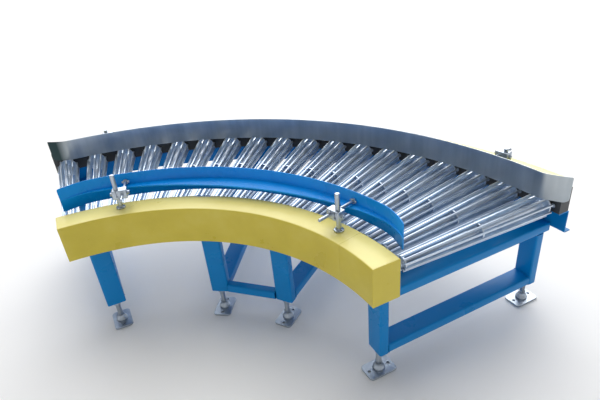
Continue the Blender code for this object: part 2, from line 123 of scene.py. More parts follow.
# A clamp block as (depth, length, height), and what bolt heads take off each end
BLOCK = (0.034, 0.076, 0.037)
BLOCK_TRIM = 0.010
PAD_HALF = (0.060, 0.040)
THREAD_PITCH = 0.0024
SHARP = math.radians(35.0)


# ---------------------------------------------------------------- materials

def tree(name):
    material = bpy.data.materials.new(name)
    material.use_nodes = True
    nodes = material.node_tree.nodes
    return material, nodes, material.node_tree.links, nodes["Principled BSDF"]


def noise(nodes, links, scale, detail=4.0, stretch=(1.0, 1.0, 1.0), rough=0.55):
    """A noise that is fixed to the piece, stretched along its axes."""
    place = nodes.new("ShaderNodeTexCoord")
    mapping = nodes.new("ShaderNodeMapping")
    mapping.inputs["Scale"].default_value = stretch
    texture = nodes.new("ShaderNodeTexNoise")
    texture.inputs["Scale"].default_value = scale
    texture.inputs["Detail"].default_value = detail
    texture.inputs["Roughness"].default_value = rough
    links.new(place.outputs["Object"], mapping.inputs["Vector"])
    links.new(mapping.outputs["Vector"], texture.inputs["Vector"])
    return texture.outputs["Fac"]


def ramp(nodes, links, source, stops):
    """Colours along a 0 to 1 value, from (position, colour) pairs."""
    node = nodes.new("ShaderNodeValToRGB")
    elements = node.color_ramp.elements
    while len(elements) < len(stops):
        elements.new(0.5)
    for element, (position, colour) in zip(elements, stops):
        element.position = position
        element.color = (*colour, 1.0)
    links.new(source, node.inputs["Fac"])
    return node.outputs["Color"]


def grey(value):
    return (value, value, value)


def mix(nodes, links, factor, first, second, blend="MIX"):
    node = nodes.new("ShaderNodeMix")
    node.data_type = "RGBA"
    node.blend_type = blend
    if isinstance(factor, float):
        node.inputs[0].default_value = factor
    else:
        links.new(factor, node.inputs[0])
    for socket, value in ((node.inputs[6], first), (node.inputs[7], second)):
        if isinstance(value, tuple):
            socket.default_value = (*value, 1.0)
        else:
            links.new(value, socket)
    return node.outputs[2]


def bump(nodes, links, shader, source, strength, distance=0.0005):
    node = nodes.new("ShaderNodeBump")
    node.inputs["Strength"].default_value = strength
    node.inputs["Distance"].default_value = distance
    links.new(source, node.inputs["Height"])
    links.new(node.outputs["Normal"], shader.inputs["Normal"])


def worn_edges(nodes, links, low=0.52, high=0.60):
    """A 0 to 1 value that rises along sharp outward edges."""
    geometry = nodes.new("ShaderNodeNewGeometry")
    return ramp(nodes, links, geometry.outputs["Pointiness"], [(low, grey(0.0)), (high, grey(1.0))])


def paint(name, base, pale, dark, roughness, scratch, coat, dust_and_sheen=None, gloss=0.2):
    """Sprayed enamel: mottled tone, orange peel, a pale dusty colour with a painted sheen on top
    faces, and fine scratches.
    """
    material, nodes, links, shader = tree(name)
    tone = noise(nodes, links, 7.0, 5.0)
    colour = ramp(nodes, links, tone, [(0.30, dark), (0.52, base), (0.72, pale)])
    fine = noise(nodes, links, 160.0, 3.0)
    speck = ramp(nodes, links, fine, [(0.66, grey(0.0)), (0.74, grey(1.0))])
    colour = mix(nodes, links, speck, colour, pale)
    scored = noise(nodes, links, 26.0, 8.0, (1.0, 9.0, 1.0), 0.75)
    lines = ramp(nodes, links, scored, [(0.705, grey(0.0)), (0.730, grey(1.0))])
    colour = mix(nodes, links, lines, colour, scratch)
    edges = worn_edges(nodes, links)
    colour = mix(nodes, links, edges, colour, pale)
    # Upward faces take a pale colour that is partly dusty and partly a painted sheen.
    if dust_and_sheen:
        geometry = nodes.new("ShaderNodeNewGeometry")
        parts = nodes.new("ShaderNodeSeparateXYZ")
        links.new(geometry.outputs["Normal"], parts.inputs["Vector"])
        upward = ramp(nodes, links, parts.outputs["Z"], [(0.60, grey(0.0)), (0.98, grey(1.0))])
        cloud = noise(nodes, links, 3.2, 6.0)
        amount = ramp(nodes, links, cloud, [(0.35, grey(0.60)), (0.65, grey(1.0))])
        dust_and_sheen_mask = mix(nodes, links, 1.0, upward, amount, "MULTIPLY")
        colour = mix(nodes, links, dust_and_sheen_mask, colour, dust_and_sheen)
    links.new(colour, shader.inputs["Base Color"])
    rough = ramp(
        nodes, links, tone, [(0.25, grey(roughness - 0.06)), (0.75, grey(roughness + 0.09))]
    )
    links.new(rough, shader.inputs["Roughness"])
    shader.inputs["Coat Weight"].default_value = coat
    shader.inputs["Coat Roughness"].default_value = 0.22
    shader.inputs["Specular IOR Level"].default_value = gloss
    peel = noise(nodes, links, 420.0, 2.0)
    bump(nodes, links, shader, peel, 0.05)
    return material


def metal(name, stops, roughness, stretch, scale, grain, strength, hollow_colour=None, dark_reflection=None):
    """Bare or plated steel: a stretched grain, tone patches and a darker colour in the hollows.

    A painted dark reflection is (X where it is full, X where it has gone, its colour).
    """
    material, nodes, links, shader = tree(name)
    streak = noise(nodes, links, scale, 6.0, stretch, 0.6)
    colour = ramp(nodes, links, streak, stops)
    patches = noise(nodes, links, 11.0, 4.0)
    shade = ramp(nodes, links, patches, [(0.30, grey(0.84)), (0.70, grey(1.0))])
    colour = mix(nodes, links, 0.85, colour, shade, "MULTIPLY")
    # Concave places take a darker colour.
    if hollow_colour:
        hollow = nodes.new("ShaderNodeNewGeometry")
        deep = ramp(
            nodes, links, hollow.outputs["Pointiness"], [(0.40, grey(1.0)), (0.49, grey(0.0))]
        )
        colour = mix(nodes, links, deep, colour, hollow_colour)
    # Painted dark reflection: the colour darkens towards one end along X.
    if dark_reflection:
        place = nodes.new("ShaderNodeTexCoord")
        parts = nodes.new("ShaderNodeSeparateXYZ")
        reach = nodes.new("ShaderNodeMapRange")
        links.new(place.outputs["Object"], parts.inputs["Vector"])
        links.new(parts.outputs["X"], reach.inputs["Value"])
        reach.inputs["From Min"].default_value = dark_reflection[0]
        reach.inputs["From Max"].default_value = dark_reflection[1]
        colour = mix(nodes, links, reach.outputs["Result"], dark_reflection[2], colour)
    links.new(colour, shader.inputs["Base Color"])
    rough = ramp(
        nodes, links, patches, [(0.3, grey(roughness[0])), (0.75, grey(roughness[1]))]
    )
    links.new(rough, shader.inputs["Roughness"])
    shader.inputs["Metallic"].default_value = 1.0
    bump(nodes, links, shader, noise(nodes, links, grain, 5.0, stretch), strength, 0.0003)
    return material


def spangled(name):
    """Hot galvanised steel: crystal patches of slightly different tone, zinc grey with a blue cast
    that is a painted sky reflection.
    """
    material, nodes, links, shader = tree(name)
    place = nodes.new("ShaderNodeTexCoord")
    cells = nodes.new("ShaderNodeTexVoronoi")
    cells.inputs["Scale"].default_value = 45.0
    links.new(place.outputs["Object"], cells.inputs["Vector"])
    parts = nodes.new("ShaderNodeSeparateColor")
    links.new(cells.outputs["Color"], parts.inputs["Color"])
    # Zinc grey with a blue cast; the blue cast is a painted reflection of a blue sky.
    colour = ramp(
        nodes,
        links,
        parts.outputs[0],
        [(0.0, (0.50, 0.62, 0.77)), (0.5, (0.54, 0.66, 0.81)), (1.0, (0.59, 0.71, 0.86))],
    )
    patch = noise(nodes, links, 14.0, 5.0)
    shade = ramp(nodes, links, patch, [(0.30, grey(0.80)), (0.68, grey(1.0))])
    colour = mix(nodes, links, 0.9, colour, shade, "MULTIPLY")
    edges = worn_edges(nodes, links, 0.53, 0.62)
    colour = mix(nodes, links, edges, colour, (0.86, 0.90, 0.96))
    links.new(colour, shader.inputs["Base Color"])
    rough = ramp(nodes, links, parts.outputs[1], [(0.0, grey(0.30)), (1.0, grey(0.40))])
    links.new(rough, shader.inputs["Roughness"])
    shader.inputs["Metallic"].default_value = 0.92
    bump(nodes, links, shader, noise(nodes, links, 120.0, 3.0), 0.02, 0.0002)
    return material


def moulded(name):
    """Black moulded plastic with a fine spark grain and grey scuffs."""
    material, nodes, links, shader = tree(name)
    tone = noise(nodes, links, 18.0, 5.0)
    colour = ramp(
        nodes, links, tone, [(0.35, (0.008, 0.010, 0.012)), (0.70, (0.030, 0.034, 0.038))]
    )
    edges = worn_edges(nodes, links)
    colour = mix(nodes, links, edges, colour, (0.07, 0.075, 0.08))
    links.new(colour, shader.inputs["Base Color"])
    rough = ramp(nodes, links, tone, [(0.3, grey(0.42)), (0.7, grey(0.62))])
    links.new(rough, shader.inputs["Roughness"])
    bump(nodes, links, shader, noise(nodes, links, 900.0, 2.0), 0.2)
    return material


def floor_finish(name):
    material, nodes, links, shader = tree(name)
    tone = noise(nodes, links, 1.3, 3.0)
    colour = ramp(nodes, links, tone, [(0.3, grey(0.86)), (0.7, grey(0.89))])
    links.new(colour, shader.inputs["Base Color"])
    shader.inputs["Roughness"].default_value = 0.8
    shader.inputs["Specular IOR Level"].default_value = 0.15
    return material


BLUE = paint(
    "blue_enamel", (0.0, 0.185, 0.50), (0.0, 0.215, 0.56), (0.0, 0.155, 0.44), 0.30,
    (0.02, 0.28, 0.60), 0.03
)
BAND_BLUE = paint(
    "bright_blue_enamel", (0.0, 0.285, 0.82), (0.0, 0.315, 0.88), (0.0, 0.245, 0.74), 0.28,
    (0.02, 0.36, 0.88), 0.03
)
# The yellow's pale top colour is partly dusty and partly a painted sheen.
YELLOW = paint(
    "yellow_enamel", (0.62, 0.505, 0.042), (0.66, 0.55, 0.070), (0.575, 0.465, 0.034), 0.30,
    (0.47, 0.39, 0.10), 0.20, (0.92, 0.83, 0.31), 0.4
)
GALVANISED = spangled("galvanised")
# The last argument paints a dark reflection onto the outer guide band's left end.
SATIN = metal(
    "satin_steel",
    [(0.30, (0.40, 0.45, 0.49)), (0.50, (0.47, 0.52, 0.56)), (0.72, (0.56, 0.61, 0.64))],
    (0.30, 0.42), (1.0, 1.0, 0.10), 16.0, 220.0, 0.03, None, (-1.112, -1.050, (0.030, 0.052, 0.056)),
)
PLATED = metal(
    "zinc_plate",
    [(0.30, (0.40, 0.46, 0.53)), (0.55, (0.48, 0.54, 0.62)), (0.75, (0.58, 0.64, 0.71))],
    (0.30, 0.44), (1.0, 1.0, 1.0), 30.0, 200.0, 0.02, (0.16, 0.16, 0.17),
)
BLACK = moulded("black_moulding")
FLOOR = floor_finish("pale_floor")


# ---------------------------------------------------------------- mesh tools

def curve_frame(angle):
    """Axes at an angle: X outwards along the radius, Y along the curve, Z up."""
    return Matrix.Translation(CENTRE) @ Matrix.Rotation(math.radians(angle), 4, "Z")


def on_curve(radius, angle, height):
    turn = math.radians(angle)
    return CENTRE + Vector((radius * math.cos(turn), radius * math.sin(turn), height))


def rounded(points, radii, arc_steps):
    """A polygon with each corner turned to an arc of its own radius."""
    count = len(points)
    if not isinstance(radii, (list, tuple)):
        radii = [radii] * count
    outline = []
    for index, corner in enumerate(points):
        here = Vector(corner)
        before = Vector(points[index - 1]) - here
        after = Vector(points[(index + 1) % count]) - here
        radius = radii[index]
        if radius <= 0.0:
            outline.append(tuple(here))
            continue
        half = before.angle(after) / 2
        reach = min(radius / math.tan(half), 0.49 * before.length, 0.49 * after.length)
        radius = reach * math.tan(half)
        middle = (before.normalized() + after.normalized()).normalized()
        centre = here + middle * radius / math.sin(half)
        first = here + before.normalized() * reach - centre
        last = here + after.normalized() * reach - centre
        sweep_by = first.angle_signed(last)
        for step in range(arc_steps + 1):
            turn = -sweep_by * step / arc_steps
            spun = Vector(
                (
                    first.x * math.cos(turn) - first.y * math.sin(turn),
                    first.x * math.sin(turn) + first.y * math.cos(turn),
                )
            )
            outline.append(tuple(centre + spun))
    return outline


def rectangle(low_x, high_x, low_y, high_y):
    return [(low_x, low_y), (high_x, low_y), (high_x, high_y), (low_x, high_y)]


def circle(radius, sides, phase=0.0):
    turns = [phase + 2 * math.pi * side / sides for side in range(sides)]
    return [(radius * math.cos(turn), radius * math.sin(turn)) for turn in turns]


def solid(rings, closed_ends=True):
    """A bmesh skin through rings of equal point counts, with a face at each end if asked."""
    body = bmesh.new()
    rows = [[body.verts.new(point) for point in ring] for ring in rings]
    for low, high in zip(rows, rows[1:]):
        for side in range(len(low)):
            after = (side + 1) % len(low)
            body.faces.new((low[side], low[after], high[after], high[side]))
    if closed_ends:
        body.faces.new(rows[0])
        body.faces.new(rows[-1])
    bmesh.ops.recalc_face_normals(body, faces=body.faces[:])
    return body


def loop_solid(rings):
    """A ring of rings, such as a hollow section's wall carried round.

    The last ring repeats the first one's places and isn't welded to it.
    """
    return solid(rings + [rings[0]], False)


def sweep(section, angles):
    rings = []
    for angle in angles:
        outline = section(angle) if callable(section) else section
        rings.append([on_curve(radius, angle, height) for radius, height in outline])
    return solid(rings)


def steps(start, end, count):
    return [start + (end - start) * step / count for step in range(count + 1)]


def turned(profile, sides):
    """A solid of revolution about Z from (radius, height) points."""
    rings = [[(x, y, height) for x, y in circle(radius, sides)] for radius, height in profile]
    return solid(rings)


def block(low, high, edge, segments):
    """A box with rounded edges."""
    outline = rectangle(low[0], high[0], low[1], high[1])
    body = solid([[(x, y, z) for x, y in outline] for z in (low[2], high[2])])
    bmesh.ops.bevel(
        body, geom=body.edges[:], offset=edge, segments=segments, affect="EDGES", profile=0.5
    )
    return body


def hexagon(across, thick, chamfer=0.0008, hole=0.0):
    """A bolt head or nut lying on Z = 0, with a chamfered top."""
    radius = across / math.sqrt(3)
    rings = [
        [(x, y, 0.0) for x, y in circle(radius, 6)],
        [(x, y, thick - chamfer) for x, y in circle(radius, 6)],
        [(x, y, thick) for x, y in circle(radius - 1.4 * chamfer, 6)],
    ]
    if hole:
        rings.append([(x, y, thick) for x, y in circle(hole, 6)])
        rings.append([(x, y, 0.0) for x, y in circle(hole, 6)])
        return loop_solid(rings)
    return solid(rings)


def bolt(across, thick, washer):
    """A hex head on its washer, from Z = 0 upwards."""
    edge = washer - 0.0008
    body = turned([(edge, 0.0), (washer, 0.0006), (washer, 0.0012), (edge, 0.0018)], 20)
    head = moved(hexagon(across, thick), (0.0, 0.0, 0.0018))
    return merged([body, head])


def moved(body, shift=(0.0, 0.0, 0.0), matrix=None):
    if matrix is None:
        matrix = Matrix.Translation(shift)
    bmesh.ops.transform(body, matrix=matrix, verts=body.verts)
    return body


def merged(bodies):
    """Several shells in one bmesh."""
    whole = bmesh.new()
    for body in bodies:
        mesh = bpy.data.meshes.new("shell")
        body.to_mesh(mesh)
        body.free()
        whole.from_mesh(mesh)
        bpy.data.meshes.remove(mesh)
    return whole


def mesh_from(name, body):
    mesh = bpy.data.meshes.new(name)
    body.to_mesh(mesh)
    body.free()
    mesh.shade_smooth()
    mesh.set_sharp_from_angle(angle=SHARP)
    return mesh


def piece(name, mesh, material, body, nodes=(), matrix=None):
    """One visible piece that rides on a CAD body and stands for its nodes."""
    if isinstance(mesh, bmesh.types.BMesh):
        mesh = mesh_from(name, mesh)
    if not mesh.materials:
        mesh.materials.append(material)
    obj = bpy.data.objects.new(name, mesh)
    bpy.context.scene.collection.objects.link(obj)
    if matrix is not None:
        obj.matrix_world = matrix
    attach(obj, body)
    if nodes:
        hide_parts(*nodes)


def cut(mesh, cutter):
    """The mesh with the cutter's solid taken out of it."""
    first = bpy.data.objects.new("cut_base", mesh)
    second = bpy.data.objects.new("cut_tool", cutter)
    for helper in (first, second):
        bpy.context.scene.collection.objects.link(helper)
    modifier = first.modifiers.new("cut", "BOOLEAN")
    modifier.operation = "DIFFERENCE"
    modifier.solver = "EXACT"
    modifier.object = second
    bpy.context.view_layer.update()
    graph = bpy.context.evaluated_depsgraph_get()
    result = bpy.data.meshes.new_from_object(first.evaluated_get(graph))
    for helper in (first, second):
        bpy.data.objects.remove(helper, do_unlink=True)
    result.shade_smooth()
    result.set_sharp_from_angle(angle=SHARP)
    return result


# ---------------------------------------------------------------- guards

def guard_cover(radius, inner, ends):
    """The folded sheet: a top, a deep skirt on the far side and a short return lip."""
    far = radius + GUARD_WIDTH
    top = GUARD_TOP
    lip = top - 0.011
    fold = 0.006
    if inner:
        points = [
            (radius, GUARD_LOW), (radius + SHEET, GUARD_LOW), (radius + SHEET, top - SHEET),
            (far - SHEET, top - SHEET), (far - SHEET, lip), (far, lip), (far, top), (radius, top),
        ]
        radii = [0.0008, 0.0008, fold - SHEET, 0.0015, 0.0008, 0.0008, 0.0045, fold]
    else:
        points = [
            (far, GUARD_LOW), (far, top), (radius, top), (radius, lip), (radius + SHEET, lip),
            (radius + SHEET, top - SHEET), (far - SHEET, top - SHEET), (far - SHEET, GUARD_LOW),
        ]
        radii = [0.0008, fold, 0.0045, 0.0008, 0.0008, 0.0015, fold - SHEET, 0.0008]
    turn = math.degrees(SHEET / radius)
    return sweep(rounded(points, radii, 4), steps(ends[0] + turn, ends[1] - turn, 96))


def end_plate(radius, near, far, angle, side):
    """A flat plate that closes an end, with rounded upper corners and eased edges."""
    low = GUARD_LOW
    cut_back = far > radius + GUARD_WIDTH - SHEET and near > radius + SHEET
    near_corner = 0.001 if cut_back else 0.005
    outline = rounded(rectangle(near, far, low, GUARD_TOP), [0.001, 0.001, 0.006, near_corner], 4)
    rings = []
    for y, inset in ((0.0, 0.0006), (0.0006, 0.0), (0.0026, 0.0), (0.0030, 0.0004)):
        middle = Vector(((near + far) / 2, (low + GUARD_TOP) / 2))
        ring = []
        for x, z in outline:
            pull = Vector((x, z)) - middle
            step_in = Vector((math.copysign(inset, pull.x), math.copysign(inset, pull.y)))
            shrink = Vector((x, z)) - step_in
            ring.append((shrink.x, side * y, shrink.y))
        rings.append(ring)
    return moved(solid(rings), matrix=curve_frame(angle))


def bead(path, radius):
    """A weld bead: a thin, slightly lumpy tube along a path of points."""
    rings = []
    for index, point in enumerate(path):
        before = Vector(path[max(index - 1, 0)])
        after = Vector(path[min(index + 1, len(path) - 1)])
        along = (after - before).normalized()
        side = along.cross(Vector((0.31, 0.22, 0.93))).normalized()
        up = along.cross(side)
        swell = radius * (1.0 + 0.16 * math.sin(index * 2.1))
        if index in (0, len(path) - 1):
            swell *= 0.35
        rings.append([Vector(point) + side * x * swell + up * y * swell for x, y in circle(1.0, 6)])
    return solid(rings)


def line(first, last, spacing):
    first, last = Vector(first), Vector(last)
    count = max(3, int((last - first).length / spacing))
    return [first.lerp(last, step / count) for step in range(count + 1)]


def make_guards():
    gap = math.degrees(SHEET / INNER_GUARD) - 0.030
    bodies = [
        guard_cover(INNER_GUARD, True, (START, SEAM + gap)),
        guard_cover(INNER_GUARD, True, (SEAM - gap, END)),
    ]
    for angle, side in ((START, 1), (END, -1)):
        bodies.append(end_plate(INNER_GUARD, INNER_GUARD, INNER_GUARD + GUARD_WIDTH, angle, side))
    piece("inner_guard_cover", merged(bodies), YELLOW, "frame", ["inner_guard"])
    bodies = [guard_cover(OUTER_GUARD, False, OUTER_GUARD_ENDS)]
    near = WEB + CHANNEL_WALL + 0.0005
    for angle, side in ((OUTER_GUARD_ENDS[0], 1), (OUTER_GUARD_ENDS[1], -1)):
        bodies.append(end_plate(OUTER_GUARD, near, OUTER_GUARD + GUARD_WIDTH, angle, side))
    piece("outer_guard_cover", merged(bodies), YELLOW, "frame", ["outer_guard"])
    clip = block((-0.0048, -0.031, 0.0), (0.0048, 0.031, 0.0018), 0.0006, 2)
    spot = curve_frame(99.3) @ Matrix.Translation((0.9480, 0.0, GUARD_TOP + 0.0001))
    piece("cover_joint_clip", moved(clip, matrix=spot), GALVANISED, "frame")
    screws = []
    for angle in steps(START + 4.5, END - 4.5, 6):
        for radius, turn in ((INNER_GUARD, 1), (OUTER_GUARD + GUARD_WIDTH, -1)):
            place = Matrix.Translation((radius + turn * 0.0026, 0.0, GUARD_LOW + 0.021))
            spot = curve_frame(angle) @ place
            facing = Matrix.Rotation(-turn * math.pi / 2, 4, "Y")
            dome = turned([(0.0056, 0.0), (0.0056, 0.0006), (0.0044, 0.0020), (0.0020, 0.0026)], 16)
            screws.append(moved(dome, matrix=spot @ facing))
    piece("guard_screws", merged(screws), PLATED, "frame")


# ---------------------------------------------------------------- side rails and bearings

def make_rails():
    low = STAND_TOP + GAP
    high = low + CHANNEL_HEIGHT
    wall = CHANNEL_WALL
    near = INNER_LEG
    far = near + CHANNEL_WIDTH
    outer_fold, inner_fold = 0.008, 0.003
    section = rounded(
        [
            (near, low), (far, low), (far, low + wall), (near + wall, low + wall),
            (near + wall, high - wall), (far, high - wall), (far, high), (near, high),
        ],
        [outer_fold, 0.001, 0.001, inner_fold, inner_fold, 0.001, 0.001, outer_fold], 4,
    )
    bodies = [sweep(section, steps(START + RAIL_INSET, END - RAIL_INSET, 82))]
    for angle in steps(START + 10.0, END - 10.0, 14):
        gusset = [(near + wall, low + wall), (far - 0.004, low + wall), (far - 0.004, low + 0.012),
                  (near + 0.012, high - wall), (near + wall, high - wall)]
        plate = solid([[(x, y, z) for x, z in gusset] for y in (-0.002, 0.002)])
        bodies.append(moved(plate, matrix=curve_frame(angle)))
    piece("inner_side_rail", merged(bodies), BLUE, "frame", ["inner_channel"])

    low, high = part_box("outer_channel")[0].z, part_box("outer_channel")[1].z
    web = WEB
    edge = web + wall + FLANGE_OUT
    section = rounded(
        [
            (web, low), (edge, low), (edge, low + wall), (web + wall, low + wall),
            (web + wall, high), (OUTER_STRIP[0], high), (OUTER_STRIP[0], high - wall),
            (web, high - wall),
        ],
        [outer_fold, 0.001, 0.001, inner_fold, outer_fold, 0.001, 0.001, inner_fold], 4,
    )
    piece("outer_side_rail", sweep(section, steps(*RAIL_ENDS, 90)), BLUE, "frame",
          ["outer_channel"])

    top = GUARD_TOP - SHEET - 0.0006
    strip = rounded(rectangle(*INNER_STRIP, STAND_TOP + 0.0729, top), 0.0015, 3)
    piece("inner_bearing_strip", sweep(strip, steps(*INNER_ENDS, 90)), BLACK, "frame",
          ["inner_bearing_rail"])
    strip = rounded(rectangle(*OUTER_STRIP, high + GAP, top), 0.002, 3)
    piece("outer_bearing_strip", sweep(strip, steps(*RAIL_ENDS, 90)), BLACK, "frame",
          ["outer_bearing_rail"])

    housings, bolts = [], []
    profile = [(0.0112, 0.0), (0.0235, 0.0), (0.0245, 0.0010), (0.0245, 0.0040), (0.0180, 0.0055),
               (0.0165, 0.0090), (0.0150, 0.0100), (0.0112, 0.0100)]
    for number in range(ROLLERS):
        axis = roller_matrix(number)
        for along, turn in ((0.9505 - ROLLER_MIDDLE, 1), (1.6945 - ROLLER_MIDDLE, -1)):
            rings = [[(x, y, z) for x, y in circle(r, 28)] for r, z in profile]
            boss = moved(loop_solid(rings), matrix=Matrix.Rotation(turn * math.pi / 2, 4, "Y"))
            housings.append(moved(boss, matrix=axis @ Matrix.Translation((along, 0.0, 0.0))))
            for y in (-0.033, 0.033):
                facing = Matrix.Rotation(turn * math.pi / 2, 4, "Y")
                head = moved(bolt(0.010, 0.005, 0.0085), matrix=facing)
                spot = axis @ Matrix.Translation((along - turn * 0.0004, y, 0.0))
                bolts.append(moved(head, matrix=spot))
    piece("bearing_housings", merged(housings), BLACK, "frame")
    piece("housing_bolts", merged(bolts), PLATED, "frame")


# ---------------------------------------------------------------- rollers

NEAR_RADIUS = ROLLER_RADIUS * ROLLER_NEAR / ROLLER_FAR
TILT = math.atan((ROLLER_RADIUS - NEAR_RADIUS) / (ROLLER_FAR - ROLLER_NEAR))


def cage_radius(along):
    share = (along + ROLLER_MIDDLE - ROLLER_NEAR) / (ROLLER_FAR - ROLLER_NEAR)
    return NEAR_RADIUS + (ROLLER_RADIUS - NEAR_RADIUS) * share


def roller_matrix(number):
    angle = START + PITCH * (number + 0.5)
    middle = Matrix.Translation((ROLLER_MIDDLE, 0.0, ROLLER_TOP - cage_radius(0.0)))
    return curve_frame(angle) @ middle @ Matrix.Rotation(TILT, 4, "Y")


def about_x(profile, sides=40):
    """Rings about X from (position, radius) points."""
    return [[(x, y, z) for y, z in circle(radius, sides, math.pi / sides)] for x, radius in profile]


def disc(along, thick):
    """A pressed disc with a rolled rim and a raised hub, seated on the tube."""
    rim = cage_radius(along) - DISC_INSET
    half = thick / 2
    back, front = along - half, along + half
    profile = [
        (back - 0.003, 0.0142), (back - 0.003, 0.0185), (back + 0.0005, 0.0205),
        (back + 0.0012, 0.024), (back + 0.0012, rim - 0.006), (back, rim - 0.005),
        (back, rim - 0.0006), (back + 0.0006, rim), (front - 0.0006, rim),
        (front, rim - 0.0006), (front, rim - 0.005), (front - 0.0012, rim - 0.006),
        (front - 0.0012, 0.024), (front - 0.0005, 0.0205), (front + 0.003, 0.0185),
        (front + 0.003, 0.0142),
    ]
    return loop_solid(about_x(profile))


def make_rollers():
    near = ROLLER_NEAR - ROLLER_MIDDLE
    far = ROLLER_FAR - ROLLER_MIDDLE
    bodies = [
        solid(about_x([
            (SHAFT_NEAR - ROLLER_MIDDLE, 0.0085), (SHAFT_NEAR - ROLLER_MIDDLE + 0.0015, 0.0098),
            (near - 0.006, 0.0098), (near - 0.006, 0.0140), (far + 0.006, 0.0140),
            (far + 0.006, 0.0098), (SHAFT_FAR - ROLLER_MIDDLE - 0.0015, 0.0098),
            (SHAFT_FAR - ROLLER_MIDDLE, 0.0085),
        ], 32)),
        disc(near + 0.0075, DISC_THICKNESS),
        disc(0.0, DISC_THICKNESS),
        disc(far - 0.0090, DISC_THICKNESS),
    ]
    for bar in range(BARS):
        turn = Matrix.Rotation(2 * math.pi * bar / BARS, 4, "X")
        rings = []
        for along, trim in ((near + 0.0002, 0.0012), (near + 0.0012, 0.0), (0.0, 0.0),
                            (far - 0.0012, 0.0), (far - 0.0002, 0.0012)):
            top = cage_radius(along) - 0.0006
            outline = rounded(rectangle(-BAR_HALF, BAR_HALF, top - 0.0155 + trim, top - trim),
                              [0.0008, 0.0008, 0.0024, 0.0024], 4)
            rings.append([(along, y, z) for y, z in outline])
        bodies.append(moved(solid(rings), matrix=turn))
        for along in (near + 0.0112, -0.0036, 0.0036, far - 0.0127):
            top = cage_radius(along) - 0.0075
            for y in (-0.0034, 0.0034):
                weld = bead(line((along, y, top), (along, y, top - 0.0080), 0.0032), 0.0011)
                bodies.append(moved(weld, matrix=turn))
    mesh = mesh_from("cage_roller", merged(bodies))
    for number in range(ROLLERS):
        name = f"roller_{number + 1:02d}"
        piece("cage_" + name, mesh, GALVANISED, name, [name],
              roller_matrix(number))


# ---------------------------------------------------------------- guide bands

def lean(angle, reach, length, shift):
    """How far a band leans aside near its ends, from the flare's length and its shift."""
    inset = min(angle - reach[0], reach[1] - angle)
    return shift * max(0.0, 1.0 - inset / length) ** 1.5


def corner_drop(angle, reach, radius, corner):
    """How far a rounded end corner cuts in at an angle, for a band at this radius."""
    inset = math.radians(min(angle - reach[0], reach[1] - angle)) * radius
    if inset >= corner:
        return 0.0
    return corner - math.sqrt(max(0.0, corner**2 - (corner - inset) ** 2))


def band_angles(reach, length, corner, radius):
    """Close steps at the rounded corners and flares, wider ones between."""
    edge = math.degrees(corner / radius)
    ramp_steps = [edge * (1.0 - math.cos(math.pi / 2 * step / 6)) for step in range(7)]
    flare_steps = [edge + (length - edge) * step / 14 for step in range(1, 15)]
    start = [reach[0] + inset for inset in ramp_steps + flare_steps]
    finish = [reach[1] - inset for inset in reversed(ramp_steps + flare_steps)]
    return start + steps(start[-1], finish[0], 72)[1:-1] + finish


def make_bands():
    low = INNER_BAND_LOW
    high = low + BAND_HEIGHT
    rib_low, rib_high = (low + high) / 2 - 0.003, (low + high) / 2 + 0.003

    def inner_section(angle):
        back = INNER_BAND + lean(angle, INNER_REACH, *INNER_FLARE)
        front = back + BAND_SHEET
        share = min(1.0, max(0.0, (angle - INNER_REACH[0]) / (INNER_REACH[1] - INNER_REACH[0])))
        edge = back - 0.0022 - 0.0658 * math.sin(math.pi * share) ** 1.3
        drop = corner_drop(angle, INNER_REACH, INNER_BAND, INNER_BAND_CORNER)
        return rounded(
            [
                (back, low + drop), (front, low + drop), (front, high - drop), (back, high - drop),
                (back, rib_high), (edge, rib_high), (edge, rib_low), (back, rib_low),
            ],
            [0.0014, 0.0014, 0.0014, 0.0014, 0.0004, 0.001, 0.001, 0.0004], 2,
        )

    angles = band_angles(INNER_REACH, INNER_FLARE[0], INNER_BAND_CORNER, INNER_BAND)
    body = sweep(inner_section, angles)
    piece("inner_guide", body, BAND_BLUE, "inner_guide", ["inner_guide_band"])

    low = OUTER_BAND_LOW
    high = low + BAND_HEIGHT

    def outer_section(angle):
        front = OUTER_BAND + lean(angle, OUTER_REACH, *OUTER_FLARE)
        drop = corner_drop(angle, OUTER_REACH, OUTER_BAND, OUTER_BAND_CORNER)
        top_drop = corner_drop(angle, OUTER_REACH, OUTER_BAND, 0.004)
        return rounded(rectangle(front, front + BAND_SHEET, low + drop, high - top_drop), 0.0014, 3)

    angles = band_angles(OUTER_REACH, OUTER_FLARE[0], OUTER_BAND_CORNER, OUTER_BAND)
    body = sweep(outer_section, angles)
    piece("outer_guide", body, SATIN, "outer_guide", ["outer_guide_band"])


# ---------------------------------------------------------------- posts and clamps

def post_body(top):
    """A round post with a chamfered head, welded into a bolted flange."""
    base = GUARD_TOP + GAP
    rod = turned([
        (0.0172, base), (0.0180, base + 0.0006), (0.0180, base + 0.0044), (0.0172, base + 0.0050),
        (0.0125, base + 0.0052), (0.0100, base + 0.0078), (POST_RADIUS, base + 0.0090),
        (POST_RADIUS, top - 0.0016), (POST_RADIUS - 0.0016, top),
    ], 36)
    bodies = [rod]
    for y in (-0.0128, 0.0128):
        bodies.append(moved(hexagon(0.0066, 0.0036, 0.0005), (0.0, y, base + 0.0050)))
    return merged(bodies)


